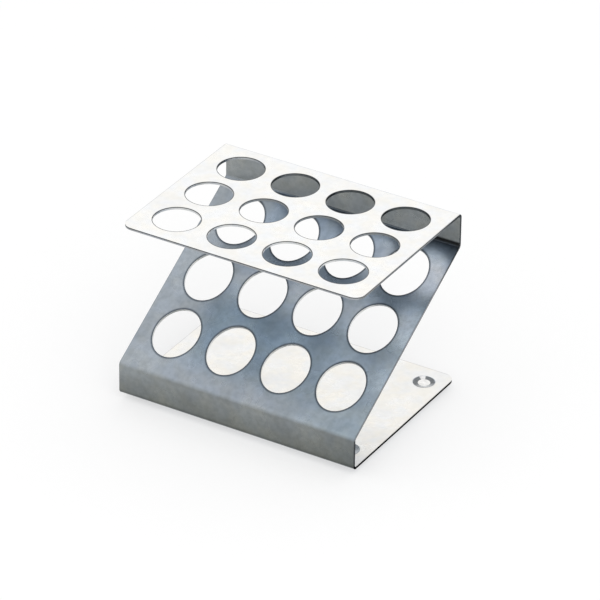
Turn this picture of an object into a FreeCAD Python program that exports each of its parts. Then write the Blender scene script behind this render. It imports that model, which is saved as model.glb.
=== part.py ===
import FreeCAD, Part
import math
import os

# Test tube rack: one sheet bent into a Z, on four riveted rubber feet.
# Frame: X along the rows of four holes, Y to the back, Z up, origin under the middle of the rack
# on the surface it stands on. All lengths are in mm and all angles in degrees.

Vec = FreeCAD.Vector
UP = Vec(0, 0, 1)

# Sheet
sheet_t = 1.0
rack_width = 107.0
rack_depth = 80.4
rack_height = 78.0
bend_radius = 1.5
corner_radius = 4.5

# The five leaves of the bent sheet
panel_slope = 30.5
front_knee_rise = 13.4
top_plate_setback = 1.9
base_plate_setback = 0.5

# Tube holes: the panel's holes stand under the top plate's, so a tube stands upright
tube_hole_d = 19.0
panel_hole_d = 19.2
columns = 4
rows = 3
column_pitch = 25.0
row_pitch = 23.75
hole_rows_y = 0.7

# Feet and rivets
foot_height = 2.5
foot_side_inset = 8.9
foot_front_inset = 11.2
foot_rear_inset = 9.9
foot_r = 6.0
foot_recess_r = 4.2
foot_recess_depth = 0.9
seat_clearance = 0.02

rivet_hole_r = 2.6
countersink_r = 4.6
countersink_depth = 0.7
shank_clearance = 0.05
rivet_head_r = 4.3
rivet_dish_r = 2.5
rivet_dish_depth = 0.4
rivet_flange_r = 3.6
rivet_flange_t = 0.5

# Levels and lines that follow from them
base_bottom_z = foot_height
base_top_z = base_bottom_z + sheet_t
wall_y = rack_depth / 2 - sheet_t / 2
front_knee_z = base_bottom_z + sheet_t / 2 + front_knee_rise
rear_knee_z = front_knee_z + 2 * wall_y * math.tan(math.radians(panel_slope))
top_plate_z = rack_height - sheet_t / 2
top_front_y = top_plate_setback - rack_depth / 2
base_rear_y = rack_depth / 2 - base_plate_setback
foot_x = rack_width / 2 - foot_side_inset
front_feet_y = foot_front_inset - rack_depth / 2
rear_feet_y = base_rear_y - foot_rear_inset
countersink_rise = countersink_depth / (countersink_r - rivet_hole_r)

# Middle line of the sheet, seen from the side, from the top plate's free edge to the base's
fold_path = [
    Vec(0, top_front_y, top_plate_z),
    Vec(0, wall_y, top_plate_z),
    Vec(0, wall_y, rear_knee_z),
    Vec(0, -wall_y, front_knee_z),
    Vec(0, -wall_y, base_bottom_z + sheet_t / 2),
    Vec(0, base_rear_y, base_bottom_z + sheet_t / 2),
]


def left_of(direction):
    """The unit vector to the left of a direction in the YZ plane."""
    return Vec(0, -direction.z, direction.y).normalize()


def fold_side(path, offset):
    """Edges of one side of the sheet: the path moved sideways, with an arc at each bend."""
    edges = []
    last = path[0] + left_of(path[1] - path[0]) * offset
    for before, corner, after in zip(path, path[1:], path[2:]):
        back = (before - corner).normalize()
        onward = (after - corner).normalize()
        half_angle = back.getAngle(onward) / 2
        bisector = (back + onward).normalize()
        centre = corner + bisector * (bend_radius / math.sin(half_angle))
        setback = bend_radius / math.tan(half_angle)
        turns_left = left_of(onward).dot(bisector) > 0
        side_radius = bend_radius - offset if turns_left else bend_radius + offset
        scale = side_radius / bend_radius
        start = centre + (corner + back * setback - centre) * scale
        middle = centre - bisector * side_radius
        end = centre + (corner + onward * setback - centre) * scale
        edges.append(Part.LineSegment(last, start).toShape())
        edges.append(Part.Arc(start, middle, end).toShape())
        last = end
    finish = path[-1] + left_of(path[-1] - path[-2]) * offset
    edges.append(Part.LineSegment(last, finish).toShape())
    return edges


def end_cap(tip, inner):
    """The sheet's cut edge across the thickness at one end of the path."""
    across = left_of(tip - inner) * (sheet_t / 2)
    return Part.LineSegment(tip - across, tip + across).toShape()


def folded_blank():
    """The bent sheet with its free corners rounded, before any hole."""
    edges = fold_side(fold_path, sheet_t / 2)
    edges += fold_side(fold_path, -sheet_t / 2)
    edges.append(end_cap(fold_path[0], fold_path[1]))
    edges.append(end_cap(fold_path[-1], fold_path[-2]))
    outline = Part.Wire(Part.__sortEdges__(edges))
    outline.translate(Vec(-rack_width / 2, 0, 0))
    blank = Part.Face(outline).extrude(Vec(rack_width, 0, 0))
    corners = upright_edges(blank, top_front_y) + upright_edges(blank, base_rear_y)
    return blank.makeFillet(corner_radius, corners)


def upright_edges(shape, y):
    """The short vertical edges of a plate whose free edge lies at this Y."""
    found = []
    for edge in shape.Edges:
        box = edge.BoundBox
        at_y = abs(box.YMin - y) < 0.01 and abs(box.YMax - y) < 0.01
        if at_y and box.XLength < 0.01 and abs(box.ZLength - sheet_t) < 0.01:
            found.append(edge)
    return found


def hole_centres():
    """X and Y of every tube position."""
    return [
        ((column - (columns - 1) / 2) * column_pitch, hole_rows_y + (row - (rows - 1) / 2) * row_pitch)
        for row in range(rows)
        for column in range(columns)
    ]


def foot_centres():
    """X and Y of the four corners' feet, by name."""
    return {
        depth + "_" + side: Vec(x, y, 0)
        for depth, y in (("front", front_feet_y), ("rear", rear_feet_y))
        for side, x in (("left", -foot_x), ("right", foot_x))
    }


def panel_middle_z(y):
    """Height of the panel's middle plane at this Y."""
    return front_knee_z + (y + wall_y) * math.tan(math.radians(panel_slope))


def top_hole(x, y):
    """Round cutter through the top plate."""
    below = Vec(x, y, rack_height - 2 * sheet_t)
    return Part.makeCylinder(tube_hole_d / 2, 3 * sheet_t, below, UP)


def panel_hole(x, y):
    """Oval cutter square to the panel, whose outline seen from above is a circle."""
    slope = math.radians(panel_slope)
    along = Vec(0, math.cos(slope), math.sin(slope))
    normal = Vec(0, -math.sin(slope), math.cos(slope))
    low = Vec(x, y, panel_middle_z(y)) - normal * (2 * sheet_t)
    half_length = panel_hole_d / 2 / math.cos(slope)
    oval = Part.Ellipse(low + along * half_length, low + Vec(panel_hole_d / 2, 0, 0), low)
    return Part.Face(Part.Wire(oval.toShape())).extrude(normal * (4 * sheet_t))


def rivet_hole(centre):
    """Cutter for a rivet's hole in the base plate, countersunk from above for the rivet's head."""
    top = centre + UP * base_top_z
    cone = Part.makeCone(countersink_r, rivet_hole_r, countersink_depth, top, -UP)
    bore = Part.makeCylinder(rivet_hole_r, 3 * sheet_t, top - UP * (2 * sheet_t), UP)
    return cone.fuse(bore)


def make_rack_sheet():
    """The whole bent sheet with its tube holes and rivet holes."""
    sheet = folded_blank()
    for x, y in hole_centres():
        sheet = sheet.cut(top_hole(x, y)).cut(panel_hole(x, y))
    for centre in foot_centres().values():
        sheet = sheet.cut(rivet_hole(centre))
    return sheet.removeSplitter()


def turned(profile, centre):
    """Solid turned about a vertical axis from (radius, height) points."""
    points = [Vec(radius, 0, height) for radius, height in profile]
    face = Part.Face(Part.makePolygon(points + points[:1]))
    solid = face.revolve(Vec(0, 0, 0), UP, 360)
    solid.translate(centre)
    return solid


def make_rivet(centre):
    """Rivet whose dished head lies in the countersink and whose flange holds the foot up."""
    shank_r = rivet_hole_r - shank_clearance
    rim_z = base_top_z - (countersink_r - rivet_head_r) * countersink_rise + seat_clearance
    neck_z = base_top_z - (countersink_r - shank_r) * countersink_rise + seat_clearance
    flange_top_z = foot_recess_depth - seat_clearance
    profile = [
        (0, flange_top_z - rivet_flange_t),
        (rivet_flange_r, flange_top_z - rivet_flange_t),
        (rivet_flange_r, flange_top_z),
        (shank_r, flange_top_z),
        (shank_r, neck_z),
        (rivet_head_r, rim_z),
        (rivet_head_r, base_top_z),
        (rivet_dish_r, base_top_z - rivet_dish_depth),
        (0, base_top_z - rivet_dish_depth),
    ]
    return turned(profile, centre)


def make_foot(centre):
    """Rubber disc under the base plate, with a recess for the rivet's flange."""
    top_z = base_bottom_z - seat_clearance
    profile = [
        (rivet_hole_r, foot_recess_depth),
        (foot_recess_r, foot_recess_depth),
        (foot_recess_r, 0),
        (foot_r, 0),
        (foot_r, top_z),
        (rivet_hole_r, top_z),
    ]
    return turned(profile, centre)


def save(node, shape):
    """Writes one node and prints its size, so a bad solid shows at once."""
    shape.exportStep("parts/" + node + ".step")
    box = shape.BoundBox
    extents = "%.2f x %.2f x %.2f mm" % (box.XLength, box.YLength, box.ZLength)
    print(node, "valid" if shape.isValid() else "INVALID", len(shape.Solids), "solid", extents)


os.makedirs("parts", exist_ok=True)
save("rack_sheet", make_rack_sheet())
for corner, centre in foot_centres().items():
    save("rivet_" + corner, make_rivet(centre))
    save("foot_" + corner, make_foot(centre))
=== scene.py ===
# %% [markdown]
# # A bent steel rack for test tubes
# The rack is one stainless sheet folded into a Z. Its top plate has twelve round holes, and the
# sloping panel below has twelve more under them, so a tube stands upright through both. Four rubber
# feet sit under the base plate, each held by a dished rivet.
#
# The construction comes packed as a fixed frame with nine pieces. This script keeps their shapes,
# gives each piece its finish, sets the rack on a pale studio floor and lights it. Lengths in
# Blender are in metres, so the sizes below that are known in millimetres are turned into metres
# once, by name.

import math

import bpy
from mathutils import Matrix, Vector


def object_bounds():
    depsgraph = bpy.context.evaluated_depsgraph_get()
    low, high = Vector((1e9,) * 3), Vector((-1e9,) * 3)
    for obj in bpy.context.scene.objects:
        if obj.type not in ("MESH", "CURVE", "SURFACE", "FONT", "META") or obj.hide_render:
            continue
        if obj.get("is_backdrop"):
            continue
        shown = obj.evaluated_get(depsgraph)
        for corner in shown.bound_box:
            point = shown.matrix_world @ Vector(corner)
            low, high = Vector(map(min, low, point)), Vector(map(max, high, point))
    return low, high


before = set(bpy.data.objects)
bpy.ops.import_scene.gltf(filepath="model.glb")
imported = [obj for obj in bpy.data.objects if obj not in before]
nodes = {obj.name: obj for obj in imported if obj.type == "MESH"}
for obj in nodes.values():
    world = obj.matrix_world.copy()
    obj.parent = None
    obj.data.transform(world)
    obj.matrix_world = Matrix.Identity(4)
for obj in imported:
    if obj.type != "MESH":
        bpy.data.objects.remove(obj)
model_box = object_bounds()
mm = 0.001
rack_size = [round((high - low) / mm, 1) for low, high in zip(*model_box)]
print("pieces in the frame:", ", ".join(sorted(nodes)))
print("rack size in mm:", rack_size)

# %% [markdown]
# ## Camera
# The view is from the front right and from above, with a long lens from about two metres away, so
# lines that are parallel on the rack stay nearly parallel. The camera turns round an aim point
# inside the rack. Its three axes are worked out from the azimuth and elevation, and a small roll
# tips the frame.

# %% Place the camera
azimuth = math.radians(30.65)
elevation = math.radians(30.63)
roll = math.radians(0.75)
distance = 1.973
aim = Vector((0.0018, 0.0050, 0.0400))
lens_mm = 302.2

away = math.cos(elevation)
back = Vector((math.sin(azimuth) * away, -math.cos(azimuth) * away, math.sin(elevation)))
level = Vector((math.cos(azimuth), math.sin(azimuth), 0.0))
upright = back.cross(level)
right = level * math.cos(roll) + upright * math.sin(roll)
up = upright * math.cos(roll) - level * math.sin(roll)

camera = bpy.data.objects.new("camera", bpy.data.cameras.new("camera"))
camera.data.lens = lens_mm
camera.data.clip_end = 20.0
turn = Matrix((right, up, back)).transposed()
camera.matrix_world = Matrix.Translation(aim + back * distance) @ turn.to_4x4()
bpy.context.scene.collection.objects.link(camera)
bpy.context.scene.camera = camera
bpy.context.scene.view_settings.view_transform = "Standard"
print("camera at", [round(value, 3) for value in camera.matrix_world.translation])

# %% [markdown]
# ## Colours and nodes
# Colours are written as sRGB hex, as a paint chart gives them, and one function turns them into the
# linear values that a shader wants. A second function adds one node with its settings and its
# links, a third makes an empty material, and a fourth turns a size in millimetres into a texture
# scale.


# %% Helpers for materials
def linear(hex_code):
    """Linear RGBA of an sRGB hex colour, by the two branches of the sRGB curve."""
    channels = [int(hex_code[start : start + 2], 16) / 255 for start in (1, 3, 5)]
    dark_end = 0.04045
    return [c / 12.92 if c <= dark_end else ((c + 0.055) / 1.055) ** 2.4 for c in channels] + [1.0]


def add(tree, kind, inputs=None, stops=(), **settings):
    """Adds one node with its settings, its inputs and, for a colour ramp, its stops.

    An input goes by its name or number, and takes a value, a socket or another node.
    """
    node = tree.nodes.new(kind)
    for name, value in settings.items():
        setattr(node, name, value)
    for key, value in (inputs or {}).items():
        if isinstance(key, int):
            socket = node.inputs[key]
        else:
            socket = next(one for one in node.inputs if one.enabled and one.name == key)
        if isinstance(value, bpy.types.Node):
            value = next(one for one in value.outputs if one.enabled)
        if isinstance(value, bpy.types.NodeSocket):
            tree.links.new(value, socket)
        else:
            socket.default_value = value
    for index, (position, hex_code) in enumerate(stops):
        points = node.color_ramp.elements
        point = points[index] if index < 2 else points.new(position)
        point.position = position
        point.color = linear(hex_code)
    return node


def new_material(name):
    """An empty material, ready for its nodes."""
    material = bpy.data.materials.new(name)
    material.use_nodes = True
    material.node_tree.nodes.clear()
    return material, material.node_tree


def per_mm(size_mm):
    """Texture scale for a feature of about this many millimetres, on coordinates in metres."""
    return 1.0 / (size_mm * mm)


print("texture scale for a feature of 14 mm:", round(per_mm(14), 1))

# %% [markdown]
# ## Stainless sheet: where a point lies
# The rack is mill-finished stainless sheet: rolled, punched, sheared and folded, then wiped and
# left bare. Bare steel has hardly a colour of its own. The tones below are painted reflection,
# light and shade: each leaf of the fold is painted with what it mirrors and how the light falls on
# it, softened as the rolled surface softens them. So the finish starts by telling the leaves apart:
# by the direction that the surface faces, and by where the point lies on the rack.

# %% Read position and facing
steel, tree = new_material("stainless_sheet_mill_finish")
place = add(tree, "ShaderNodeTexCoord").outputs["Object"]
normal = add(tree, "ShaderNodeNewGeometry").outputs["Normal"]
x, y, z = add(tree, "ShaderNodeSeparateXYZ", {0: place}).outputs
normal_x, normal_y, normal_z = add(tree, "ShaderNodeSeparateXYZ", {0: normal}).outputs
half_width = model_box[1][0]
half_depth = model_box[1][1]
rack_top = model_box[1][2]
to_right = add(
    tree, "ShaderNodeMapRange", {"Value": x, "From Min": -half_width, "From Max": half_width}
)
to_back = add(
    tree, "ShaderNodeMapRange", {"Value": y, "From Min": -half_depth, "From Max": half_depth}
)
height = add(tree, "ShaderNodeMapRange", {"Value": z, "From Min": 0.0, "From Max": rack_top})
print("position runs over", rack_size, "mm")

# %% [markdown]
# ## Stainless sheet: a tone for each leaf
# Each leaf's tone is painted light and shade for the way it faces. The two flat plates lie open to
# the light and are painted nearly white, the base plate a little greyer as painted shade under the
# panel. The short walls at the two outer bends are painted darkest, with a touch of green, and
# darker still in the lower bend, as painted shade for the dark gap under the rack. The front wall
# is painted darker towards the right, and the rear wall hardly is. The underside is painted a plain
# cool grey, as shade.

# %% Tones of the plates, walls and underside
# Painted light and shade: each leaf below is toned for the way it faces the light.
front_wall_share, rear_wall_share = 1.0, 0.2
plates = add(tree, "ShaderNodeValToRGB", {0: height}, [(0.1, "#FAF9F6"), (0.9, "#FFFFFE")])
walls = add(
    tree,
    "ShaderNodeValToRGB",
    {0: height},
    [(0.04, "#565A58"), (0.065, "#868A88"), (0.18, "#9A9FA0"), (0.8, "#979B9B")],
)
wall_shade = add(
    tree,
    "ShaderNodeValToRGB",
    {0: to_right},
    [(0.0, "#FFFFFF"), (0.15, "#F1F1F0"), (0.8, "#E8E8E7"), (1.0, "#D2D3D2")],
)
shade_share = add(
    tree,
    "ShaderNodeMapRange",
    {
        "Value": height,
        "From Min": 0.25,
        "From Max": 0.75,
        "To Min": front_wall_share,
        "To Max": rear_wall_share,
    },
)
walls = add(
    tree,
    "ShaderNodeMix",
    {"Factor": shade_share, "A": walls, "B": wall_shade},
    data_type="RGBA",
    blend_type="MULTIPLY",
)
underside = linear("#B4BBC2")
print("plate, wall and underside tones set")

# %% [markdown]
# ## Stainless sheet: the sloping panel
# The panel is a cool blue grey, with painted reflection over it. It mirrors the underside of the
# top plate, so it is painted darker and bluer between its first and second rows of holes, paler
# along the second row where the light comes through the holes above, and palest along its two
# margins, which mirror the open room.

# %% Tones of the panel
left_inner, left_outer = -24 * mm, -36 * mm
right_inner, right_outer = 10 * mm, 50 * mm
# Painted reflection of the top plate's underside and of the room, row by row.
panel_rows = add(
    tree,
    "ShaderNodeValToRGB",
    {0: to_back},
    [
        (0.05, "#ACB4BD"),
        (0.16, "#A4B4C2"),
        (0.29, "#9AADBE"),
        (0.38, "#9CAFC0"),
        (0.46, "#B6C4D1"),
        (0.56, "#BAC2CB"),
        (0.64, "#A3B0BD"),
        (0.75, "#A0AEBD"),
    ],
)
left_margin = add(
    tree, "ShaderNodeMapRange", {"Value": x, "From Min": left_inner, "From Max": left_outer}
)
right_margin = add(
    tree, "ShaderNodeMapRange", {"Value": x, "From Min": right_inner, "From Max": right_outer}
)
right_rows = add(
    tree,
    "ShaderNodeValToRGB",
    {0: to_back},
    [
        (0.02, "#ABB9C3"),
        (0.20, "#C6D4E0"),
        (0.46, "#CCDAE6"),
        (0.56, "#B4BEC8"),
        (0.66, "#A6B6C6"),
        (0.74, "#BCC5D0"),
        (0.85, "#C6CCD6"),
        (0.93, "#BCCBDA"),
    ],
)
panel = add(
    tree,
    "ShaderNodeMix",
    {"Factor": left_margin, "A": panel_rows, "B": linear("#ACB4BC")},
    data_type="RGBA",
)
panel = add(
    tree, "ShaderNodeMix", {"Factor": right_margin, "A": panel, "B": right_rows}, data_type="RGBA"
)
print("panel tones run over", len(panel_rows.color_ramp.elements), "stops from front to back")

# %% [markdown]
# The four tones meet on the bends. A bend turns the surface from one direction to the next, so the
# height of the normal, from -1 straight down to 1 straight up, blends them exactly where the metal
# curves.

# %% Blend the leaves over the bends
is_panel = add(tree, "ShaderNodeMapRange", {"Value": normal_z, "From Min": 0.05, "From Max": 0.86})
is_plate = add(tree, "ShaderNodeMapRange", {"Value": normal_z, "From Min": 0.90, "From Max": 0.99})
is_under = add(
    tree, "ShaderNodeMapRange", {"Value": normal_z, "From Min": -0.40, "From Max": -0.80}
)
tone = walls
for share, leaf_tone in ((is_panel, panel), (is_plate, plates), (is_under, underside)):
    tone = add(
        tree, "ShaderNodeMix", {"Factor": share, "A": tone, "B": leaf_tone}, data_type="RGBA"
    )
print("leaves blended by the height of the normal")

# %% [markdown]
# The inside of the rear bend and the last few millimetres of the panel below it are painted nearly
# black, as shade: there the two leaves mirror each other and little light gets in. The painted
# shade is faint at the left end and strong from the second column of holes on. At the right end it
# is full, and reaches up to the foot of the rear wall.

# %% Shade the inside of the rear bend
shade_left, shade_middle, shade_added_right = 0.2, 0.75, 0.25
knee_shade = add(
    tree,
    "ShaderNodeValToRGB",
    {0: height},
    [
        (0.765, "#FFFFFF"),
        (0.796, "#CCCCCC"),
        (0.806, "#9C9C9C"),
        (0.815, "#464646"),
        (0.829, "#464646"),
        (0.838, "#FFFFFF"),
    ],
)
in_corner = add(tree, "ShaderNodeMapRange", {"Value": normal_z, "From Min": 0.02, "From Max": 0.30})
in_corner = add(tree, "ShaderNodeMath", {0: in_corner, 1: is_plate}, operation="SUBTRACT")
along_bend = add(
    tree,
    "ShaderNodeMapRange",
    {
        "Value": x,
        "From Min": -30 * mm,
        "From Max": -16 * mm,
        "To Min": shade_left,
        "To Max": shade_middle,
    },
)
right_end = add(tree, "ShaderNodeMapRange", {"Value": x, "From Min": 30 * mm, "From Max": 42 * mm})
along_bend = add(
    tree,
    "ShaderNodeMath",
    {0: right_end, 1: shade_added_right, 2: along_bend},
    operation="MULTIPLY_ADD",
)
in_corner = add(tree, "ShaderNodeMath", {0: in_corner, 1: along_bend}, operation="MULTIPLY")
faces_front = add(
    tree, "ShaderNodeMapRange", {"Value": normal_y, "From Min": -0.6, "From Max": -0.9}
)
wall_foot = add(tree, "ShaderNodeMath", {0: faces_front, 1: right_end}, operation="MULTIPLY")
in_corner = add(tree, "ShaderNodeMath", {0: in_corner, 1: wall_foot}, operation="MAXIMUM")
tone = add(
    tree,
    "ShaderNodeMix",
    {"Factor": in_corner, "A": tone, "B": knee_shade},
    data_type="RGBA",
    blend_type="MULTIPLY",
)
print("rear bend shaded with", len(knee_shade.color_ramp.elements), "stops by height")

# %% [markdown]
# ## Stainless sheet: the rims of the holes
# Where the punch drew the face down into the cut, a fine dark line of painted shade runs round each
# hole, for the turned-down rim. It follows the distance from the nearest hole's centre, seen from
# above. The holes stand on one grid, so a point's place in its grid cell gives that distance. The
# panel's cuts run square to its slope, which moves each hole on the panel's upper face a quarter of
# a millimetre to the front.

# %% Measure the distance to the nearest hole
columns, rows = 4, 3
column_pitch = 25.0 * mm
row_pitch = 23.75 * mm
middle_row_y = 0.7 * mm
face_shift = 0.25 * mm
on_slope = add(tree, "ShaderNodeMath", {0: is_panel, 1: is_plate}, operation="SUBTRACT")
face_y = add(tree, "ShaderNodeMath", {0: on_slope, 1: face_shift, 2: y}, operation="MULTIPLY_ADD")
face_place = add(tree, "ShaderNodeCombineXYZ", {"X": x, "Y": face_y})
per_cell = (1 / column_pitch, 1 / row_pitch, 0.0)
half_cell = (0.0, 0.5 - middle_row_y / row_pitch, 0.0)
first_cell = (-(columns // 2), -(rows // 2), 0)
last_cell = (columns // 2 - 1, rows // 2, 0)
cells = add(
    tree,
    "ShaderNodeVectorMath",
    {0: face_place, 1: per_cell, 2: half_cell},
    operation="MULTIPLY_ADD",
)
corner = add(tree, "ShaderNodeVectorMath", {0: cells}, operation="FLOOR")
corner = add(tree, "ShaderNodeVectorMath", {0: corner, 1: first_cell}, operation="MAXIMUM")
corner = add(tree, "ShaderNodeVectorMath", {0: corner, 1: last_cell}, operation="MINIMUM")
in_cell = add(tree, "ShaderNodeVectorMath", {0: cells, 1: corner}, operation="SUBTRACT")
in_cell = add(tree, "ShaderNodeVectorMath", {0: in_cell, 1: (0.5, 0.5, 0)}, operation="SUBTRACT")
in_cell = add(
    tree,
    "ShaderNodeVectorMath",
    {0: in_cell, 1: (column_pitch, row_pitch, 0)},
    operation="MULTIPLY",
)
from_hole = add(tree, "ShaderNodeVectorMath", {0: in_cell}, operation="LENGTH")
print("hole grid in mm:", round(column_pitch / mm, 2), "by", round(row_pitch / mm, 2))

# %% [markdown]
# The panel's lines are half a millimetre wide. On the top plate they are hair lines.

# %% Draw the rims
panel_rim_outer, panel_rim_inner = 10.5 * mm, 9.9 * mm
top_rim_outer, top_rim_inner = 9.85 * mm, 9.65 * mm
panel_rim = add(
    tree,
    "ShaderNodeMapRange",
    {"Value": from_hole, "From Min": panel_rim_outer, "From Max": panel_rim_inner},
)
panel_rim = add(tree, "ShaderNodeMath", {0: panel_rim, 1: on_slope}, operation="MULTIPLY")
tone = add(
    tree,
    "ShaderNodeMix",
    {"Factor": panel_rim, "A": tone, "B": linear("#626A73")},
    data_type="RGBA",
)
top_rim = add(
    tree,
    "ShaderNodeMapRange",
    {"Value": from_hole, "From Min": top_rim_outer, "From Max": top_rim_inner},
)
on_top = add(tree, "ShaderNodeMapRange", {"Value": height, "From Min": 0.90, "From Max": 0.95})
top_rim = add(tree, "ShaderNodeMath", {0: top_rim, 1: on_top}, operation="MULTIPLY")
top_rim = add(tree, "ShaderNodeMath", {0: top_rim, 1: is_plate}, operation="MULTIPLY")
tone = add(
    tree, "ShaderNodeMix", {"Factor": top_rim, "A": tone, "B": linear("#4A4D50")}, data_type="RGBA"
)
print("rims drawn round", 2 * columns * rows, "holes")

# %% [markdown]
# A much fainter hair line of painted shade runs along the side edges of every leaf and along the
# base plate's rear edge, where the shears drew the face down.

# %% Draw the hair lines along the edges
side_line_inner, side_line_outer = 53.15 * mm, 53.4 * mm
end_line_inner, end_line_outer = 39.3 * mm, 39.6 * mm
line_share = 0.6
out_x = add(tree, "ShaderNodeMath", {0: x}, operation="ABSOLUTE")
out_y = add(tree, "ShaderNodeMath", {0: y}, operation="ABSOLUTE")
side_line = add(
    tree,
    "ShaderNodeMapRange",
    {
        "Value": out_x,
        "From Min": side_line_inner,
        "From Max": side_line_outer,
        "To Max": line_share,
    },
)
end_line = add(
    tree,
    "ShaderNodeMapRange",
    {"Value": out_y, "From Min": end_line_inner, "From Max": end_line_outer, "To Max": line_share},
)
end_line = add(tree, "ShaderNodeMath", {0: end_line, 1: is_plate}, operation="MULTIPLY")
edge_line = add(tree, "ShaderNodeMath", {0: side_line, 1: end_line}, operation="MAXIMUM")
tone = add(
    tree,
    "ShaderNodeMix",
    {"Factor": edge_line, "A": tone, "B": linear("#C0C2C4")},
    data_type="RGBA",
    blend_type="MULTIPLY",
)
print("hair lines start", side_line_inner / mm, "mm from the middle")

# %% [markdown]
# ## Stainless sheet: the cut edges
# The holes are punched, and the punch leaves their cuts rubbed bright, with a dark line along the
# top plate's upper rim. The top plate's cuts are made darker towards the back and the right.

# %% Tone the punched cuts
rim_low, rim_high = 77.70 * mm, 77.85 * mm
upper_rim = add(tree, "ShaderNodeMapRange", {"Value": z, "From Min": rim_low, "From Max": rim_high})
darker_to_back = add(
    tree, "ShaderNodeMapRange", {"Value": y, "From Min": -20 * mm, "From Max": 25 * mm}
)
darker_to_right = add(
    tree,
    "ShaderNodeMapRange",
    {"Value": x, "From Min": -40 * mm, "From Max": -12 * mm, "To Min": 0.3, "To Max": 1.0},
)
punched_darkening = add(tree, "ShaderNodeMath", {0: darker_to_back, 1: darker_to_right}, operation="MULTIPLY")
punched_darkening = add(tree, "ShaderNodeMath", {0: punched_darkening, 1: on_top}, operation="MULTIPLY")
rubbed_tone = add(
    tree, "ShaderNodeValToRGB", {0: punched_darkening}, [(0.0, "#E8EAEB"), (0.5, "#94999D"), (1.0, "#54585A")]
)
punched_tone = add(
    tree,
    "ShaderNodeMix",
    {"Factor": upper_rim, "A": rubbed_tone, "B": linear("#3A3D40")},
    data_type="RGBA",
)
print("punched cuts toned in", len(rubbed_tone.color_ramp.elements), "steps of darkening")

# %% [markdown]
# The outline is sheared, which leaves it torn and duller. It is also darkened by place: darkest
# round the base plate, where this is painted shade of the dark gap under the plate, then at the
# ends of the two walls, and towards the rear bend, where it is painted shade of that bend. Each row
# of the table gives an axis, where along it the darkening starts and where it is full, in mm, and
# how dark it gets at most. The holes all lie inside a rectangle, so a cut outside it belongs to the
# outline.

# %% Tone the sheared outline
holes_end_x, holes_end_y = 48 * mm, 34.6 * mm
past_holes_x = add(tree, "ShaderNodeMath", {0: out_x, 1: holes_end_x}, operation="GREATER_THAN")
past_holes_y = add(tree, "ShaderNodeMath", {0: out_y, 1: holes_end_y}, operation="GREATER_THAN")
sheared = add(tree, "ShaderNodeMath", {0: past_holes_x, 1: past_holes_y}, operation="MAXIMUM")
# Painted shade: the rows round the base plate and towards the rear bend darken the cut for shade
# there; the others only make it darker.
edge_darkening_places = (
    (z, 77.50, 77.65, 0.65),  # the top plate's upper edge
    (out_x, 52.3, 52.5, 0.35),  # the ends of the walls and the panel
    (z, 16.5, 15.5, 0.7),  # the front wall, from its bend down
    (z, 5.0, 4.0, 1.0),  # round the base plate
    (y, 5.0, 34.0, 0.7),  # towards the rear bend
)
edge_darkening = None
for axis, starts_mm, full_mm, darkest in edge_darkening_places:
    reach = {"From Min": starts_mm * mm, "From Max": full_mm * mm, "To Max": darkest}
    here = add(tree, "ShaderNodeMapRange", {"Value": axis, **reach})
    if edge_darkening is not None:
        here = add(tree, "ShaderNodeMath", {0: edge_darkening, 1: here}, operation="MAXIMUM")
    edge_darkening = here
sheared_tone = add(
    tree,
    "ShaderNodeValToRGB",
    {0: edge_darkening},
    [(0.0, "#ABAEB2"), (0.35, "#8E9296"), (0.65, "#54575A"), (1.0, "#1C1E20")],
)
cut_tone = add(
    tree,
    "ShaderNodeMix",
    {"Factor": sheared, "A": punched_tone, "B": sheared_tone},
    data_type="RGBA",
)
print("sheared outline told from the punched holes")

# %% [markdown]
# A cut edge is any steep surface that isn't a face of the two walls. The walls face front or back,
# far out at the two ends of the rack: the front one low down, the rear one high up. The same
# darkening of a cut, partly painted shade, also takes the shine off it where it is seen at a slant.

# %% Tell the cut edges from the walls
walls_start_y = 38.7 * mm
steep_limit, sideways_limit = 0.75, 0.5
steep = add(tree, "ShaderNodeMath", {0: normal_z, 1: 0.0, 2: steep_limit}, operation="COMPARE")
faces_along = add(
    tree, "ShaderNodeMath", {0: normal_x, 1: 0.0, 2: sideways_limit}, operation="COMPARE"
)
above_middle = add(tree, "ShaderNodeMath", {0: z, 1: rack_top / 2}, operation="SUBTRACT")
wall_side = add(tree, "ShaderNodeMath", {0: y, 1: above_middle}, operation="MULTIPLY")
wall_side = add(tree, "ShaderNodeMath", {0: wall_side, 1: 0.0}, operation="GREATER_THAN")
far_out = add(tree, "ShaderNodeMath", {0: out_y, 1: walls_start_y}, operation="GREATER_THAN")
on_wall = add(tree, "ShaderNodeMath", {0: wall_side, 1: far_out}, operation="MULTIPLY")
on_wall = add(tree, "ShaderNodeMath", {0: on_wall, 1: faces_along}, operation="MULTIPLY")
is_cut = add(tree, "ShaderNodeMath", {0: steep, 1: on_wall}, operation="SUBTRACT", use_clamp=True)
tone = add(tree, "ShaderNodeMix", {"Factor": is_cut, "A": tone, "B": cut_tone}, data_type="RGBA")
darkened_cut = add(tree, "ShaderNodeMath", {0: is_cut, 1: edge_darkening}, operation="MULTIPLY")
slant_tone = add(tree, "ShaderNodeValToRGB", {0: darkened_cut}, [(0.0, "#FFFFFF"), (1.0, "#808080")])
print("cut edges toned")

# %% [markdown]
# ## Stainless sheet: clouds, tint and rolling grain
# Bare sheet is never even. Soft clouds about 14 mm across dull it here and there, finer mottling of
# 2 to 3 mm lies over them, and a faint warm and cool drift tints it. The plates show the least of
# it. The rolls leave a very fine grain along the sheet, and the clouds also change the gloss.

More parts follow.
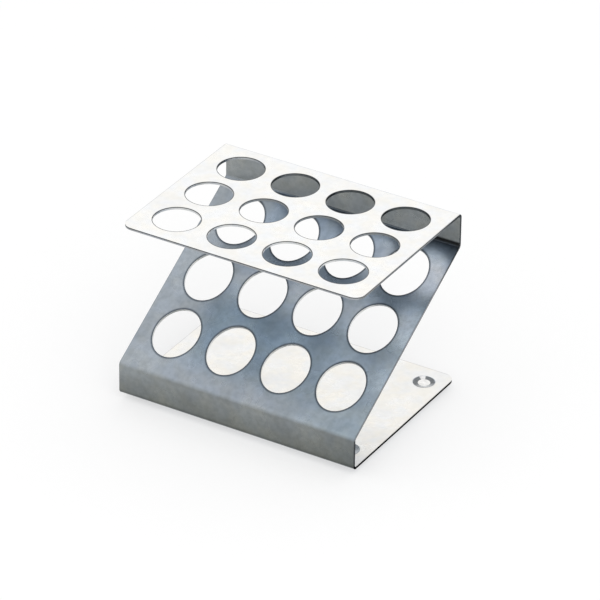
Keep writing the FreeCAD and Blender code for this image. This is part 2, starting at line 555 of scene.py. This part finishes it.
# %% Add the clouds, the tint and the grain
cloud_size, mottle_size, drift_size, grain_size = 14, 2.5, 6, 0.5
dull_roughness, bright_roughness = 0.34, 0.22
clouds = add(
    tree, "ShaderNodeTexNoise", {"Vector": place, "Scale": per_mm(cloud_size), "Detail": 2.0}
)
mottle = add(
    tree,
    "ShaderNodeTexNoise",
    {"Vector": place, "Scale": per_mm(mottle_size), "Detail": 3.0, "Roughness": 0.6},
)
drift = add(
    tree, "ShaderNodeTexNoise", {"Vector": place, "Scale": per_mm(drift_size), "Detail": 1.0}
)
cloud_tone = add(tree, "ShaderNodeValToRGB", {0: clouds}, [(0.35, "#EEEFF1"), (0.62, "#FFFFFF")])
mottle_tone = add(tree, "ShaderNodeValToRGB", {0: mottle}, [(0.35, "#EEEFEF"), (0.62, "#FFFFFF")])
drift_tone = add(tree, "ShaderNodeValToRGB", {0: drift}, [(0.35, "#FCFDFF"), (0.65, "#FFFDF9")])
worn = add(tree, "ShaderNodeMapRange", {"Value": is_plate, "To Min": 1.0, "To Max": 0.3})
for wear, amount in ((cloud_tone, worn), (mottle_tone, worn), (drift_tone, 1.0)):
    tone = add(
        tree,
        "ShaderNodeMix",
        {"Factor": amount, "A": tone, "B": wear},
        data_type="RGBA",
        blend_type="MULTIPLY",
    )
roughnesses = {"To Min": dull_roughness, "To Max": bright_roughness}
gloss = add(tree, "ShaderNodeMapRange", {"Value": clouds, **roughnesses})
grain_stretch = (0.05, 1.0, 1.0)
grain_depth = 0.1 * mm
along = add(tree, "ShaderNodeMapping", {"Vector": place, "Scale": grain_stretch})
grain = add(
    tree, "ShaderNodeTexNoise", {"Vector": along, "Scale": per_mm(grain_size), "Detail": 2.0}
)
relief = add(tree, "ShaderNodeBump", {"Height": grain, "Strength": 0.06, "Distance": grain_depth})
shader = add(
    tree,
    "ShaderNodeBsdfPrincipled",
    {
        "Metallic": 1.0,
        "Base Color": tone,
        "Specular Tint": slant_tone,
        "Roughness": gloss,
        "Normal": relief,
    },
)
add(tree, "ShaderNodeOutputMaterial", {"Surface": shader})
print("made", steel.name, "with", len(tree.nodes), "nodes")

# %% [markdown]
# ## Rivets
# The rivets are plain steel, turned and clinched. The middle of each head is dished. Their colour
# holds painted reflection: the flat bottom of the dish is painted bright for the light above that
# it mirrors, and the sloping side round it is painted dark for the darker room, most on its left
# and right, so a rivet reads as a dark ring that is broken by a painted bright streak at the back.
# The painted ring is paler on the two front rivets, which lie under the panel.

# %% Rivet steel
rivet_steel, tree = new_material("rivet_steel_clinched")
place = add(tree, "ShaderNodeTexCoord").outputs["Object"]
normal = add(tree, "ShaderNodeNewGeometry").outputs["Normal"]
flat = add(tree, "ShaderNodeSeparateXYZ", {0: normal}).outputs["Z"]
streak_side = Vector((0.62, -0.78, 0.0))
streak_reach = 0.22
paler_share = 0.7
scuff_size = 1.2
# Painted reflection: the dish's slope is painted dark, most at its left and right, and broken by a
# painted bright streak at the back.
leans = add(tree, "ShaderNodeVectorMath", {0: normal, 1: streak_side}, operation="DOT_PRODUCT")
lean_share = add(
    tree,
    "ShaderNodeMapRange",
    {"Value": leans, "From Min": -streak_reach, "From Max": streak_reach},
)
ring_tone = add(
    tree,
    "ShaderNodeValToRGB",
    {0: lean_share},
    [
        (0.0, "#D8DADB"),
        (0.12, "#B4B7B9"),
        (0.35, "#74787B"),
        (0.955, "#7C8083"),
        (0.975, "#F2F2F2"),
    ],
)
in_front = add(tree, "ShaderNodeSeparateXYZ", {0: place}).outputs["Y"]
in_front = add(tree, "ShaderNodeMath", {0: in_front, 1: 0.0}, operation="LESS_THAN")
in_front = add(tree, "ShaderNodeMath", {0: in_front, 1: paler_share}, operation="MULTIPLY")
ring_tone = add(
    tree,
    "ShaderNodeMix",
    {"Factor": in_front, "A": ring_tone, "B": linear("#B6BCC2")},
    data_type="RGBA",
)
# Painted reflection: the flat bottom of the dish is painted bright.
is_flat = add(tree, "ShaderNodeMapRange", {"Value": flat, "From Min": 0.98, "From Max": 0.995})
rivet_tone = add(
    tree,
    "ShaderNodeMix",
    {"Factor": is_flat, "A": ring_tone, "B": linear("#FBFAF8")},
    data_type="RGBA",
)
scuffs = add(
    tree, "ShaderNodeTexNoise", {"Vector": place, "Scale": per_mm(scuff_size), "Detail": 2.0}
)
scuff_tone = add(tree, "ShaderNodeValToRGB", {0: scuffs}, [(0.35, "#ECECEC"), (0.6, "#FFFFFF")])
tone = add(
    tree,
    "ShaderNodeMix",
    {"Factor": 1.0, "A": rivet_tone, "B": scuff_tone},
    data_type="RGBA",
    blend_type="MULTIPLY",
)
gloss = add(tree, "ShaderNodeMapRange", {"Value": scuffs, **roughnesses})
shader = add(
    tree, "ShaderNodeBsdfPrincipled", {"Metallic": 1.0, "Base Color": tone, "Roughness": gloss}
)
add(tree, "ShaderNodeOutputMaterial", {"Surface": shader})
print("made", rivet_steel.name)

# %% [markdown]
# ## Rubber feet
# The feet are moulded black rubber, matt, with a fine pebble from the mould and a grey bloom of
# dust on it.

# %% Foot rubber
rubber, tree = new_material("foot_rubber_moulded")
place = add(tree, "ShaderNodeTexCoord").outputs["Object"]
pebble_size, bloom_size = 0.4, 4
pebble_depth = 0.05 * mm
pebble = add(
    tree, "ShaderNodeTexNoise", {"Vector": place, "Scale": per_mm(pebble_size), "Detail": 2.0}
)
bloom = add(
    tree, "ShaderNodeTexNoise", {"Vector": place, "Scale": per_mm(bloom_size), "Detail": 2.0}
)
rubber_tone = add(tree, "ShaderNodeValToRGB", {0: bloom}, [(0.35, "#262628"), (0.7, "#38383A")])
dryness = add(tree, "ShaderNodeMapRange", {"Value": bloom, "To Min": 0.62, "To Max": 0.8})
relief = add(tree, "ShaderNodeBump", {"Height": pebble, "Strength": 0.25, "Distance": pebble_depth})
shader = add(
    tree,
    "ShaderNodeBsdfPrincipled",
    {"Base Color": rubber_tone, "Roughness": dryness, "Normal": relief},
)
add(tree, "ShaderNodeOutputMaterial", {"Surface": shader})
print("made", rubber.name)

# %% [markdown]
# ## Dress the pieces
# The nine pieces keep their shapes and take one finish each.

# %% Give each piece its finish
for name, piece in nodes.items():
    finish = rubber
    if name == "rack_sheet":
        finish = steel
    elif name.startswith("rivet"):
        finish = rivet_steel
    piece.data.materials.clear()
    piece.data.materials.append(finish)
    print(name, "is", finish.name)

# %% [markdown]
# ## Floor and light
# The rack stands on a white paper floor that runs out of sight. A white room lights it evenly from
# all round, and one large softbox from the front right adds a faint shadow. Steel shows its
# surroundings, so the room is full white wherever the steel or the camera looks, and slightly
# weaker as a light. The paper glows a little towards them as well, which thins the rack's shadow on
# it and keeps its shape.

# %% Helper for what the camera, the steel or glass sees
def seen_share(tree):
    """1 where a ray comes from the camera, a mirror or glass, and 0 where it only carries light."""
    ray = add(tree, "ShaderNodeLightPath").outputs
    seen = add(
        tree,
        "ShaderNodeMath",
        {0: ray["Is Camera Ray"], 1: ray["Is Glossy Ray"]},
        operation="MAXIMUM",
    )
    return add(
        tree, "ShaderNodeMath", {0: seen, 1: ray["Is Transmission Ray"]}, operation="MAXIMUM"
    )


# %% Lay the floor
floor_half = 3.0
floor_glow = 0.55
floor_z = -0.02 * mm
signs = ((-1, -1), (1, -1), (1, 1), (-1, 1))
corners = [(sign_x * floor_half, sign_y * floor_half, floor_z) for sign_x, sign_y in signs]
mesh = bpy.data.meshes.new("floor")
mesh.from_pydata(corners, [], [(0, 1, 2, 3)])
floor = bpy.data.objects.new("floor", mesh)
bpy.context.scene.collection.objects.link(floor)
paper, tree = new_material("white_paper_floor")
seen = seen_share(tree)
glow_share = add(tree, "ShaderNodeMath", {0: seen, 1: floor_glow}, operation="MULTIPLY")
lit = add(tree, "ShaderNodeBsdfDiffuse", {"Color": linear("#FDFDFD")})
white = add(tree, "ShaderNodeEmission", {"Color": linear("#FFFFFF"), "Strength": 1.0})
shader = add(tree, "ShaderNodeMixShader", {0: glow_share, 1: lit, 2: white})
add(tree, "ShaderNodeOutputMaterial", {"Surface": shader})
mesh.materials.append(paper)
floor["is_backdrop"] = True
print("floor is", 2 * floor_half, "m wide, and", -floor_z / mm, "mm below the feet")

# %% Light the room
light_strength, seen_strength = 0.97, 1.0
world = bpy.data.worlds.new("white_room")
bpy.context.scene.world = world
world.use_nodes = True
tree = world.node_tree
tree.nodes.clear()
strength = add(
    tree,
    "ShaderNodeMapRange",
    {"Value": seen_share(tree), "To Min": light_strength, "To Max": seen_strength},
)
sky = add(tree, "ShaderNodeBackground", {"Color": (1, 1, 1, 1), "Strength": strength})
add(tree, "ShaderNodeOutputWorld", {"Surface": sky})
print("room light at", light_strength, "of what the steel and the camera see")

# %% [markdown]
# The softbox is a square lamp that faces the rack. A lamp's power is its radiance times pi times
# its area.

# %% Hang the softbox
softbox_reach = 1.6
softbox_side = 0.9
softbox_radiance = 1.2
lamp = bpy.data.lights.new("softbox", "AREA")
lamp.shape = "SQUARE"
lamp.size = softbox_side
lamp.energy = softbox_radiance * math.pi * softbox_side * softbox_side
towards = Vector((0.45, -0.45, 0.77)).normalized()
aimed = towards.to_track_quat("Z", "Y").to_matrix().to_4x4()
softbox = bpy.data.objects.new("softbox", lamp)
softbox.matrix_world = Matrix.Translation(towards * softbox_reach) @ aimed
bpy.context.scene.collection.objects.link(softbox)
print("softbox at", [round(value, 2) for value in softbox.matrix_world.translation])

# %% [markdown]
# ## Check and finish
# No new piece is added, so the dressed rack has to have exactly the frame's box. Both boxes are
# compared, and whether they match is printed.

# %% Compare both boxes and finish
visual_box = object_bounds()
gaps = [(Vector(cad) - Vector(seen)).length for cad, seen in zip(model_box, visual_box)]
print("boxes match:", max(gaps) < 0.001 * mm)
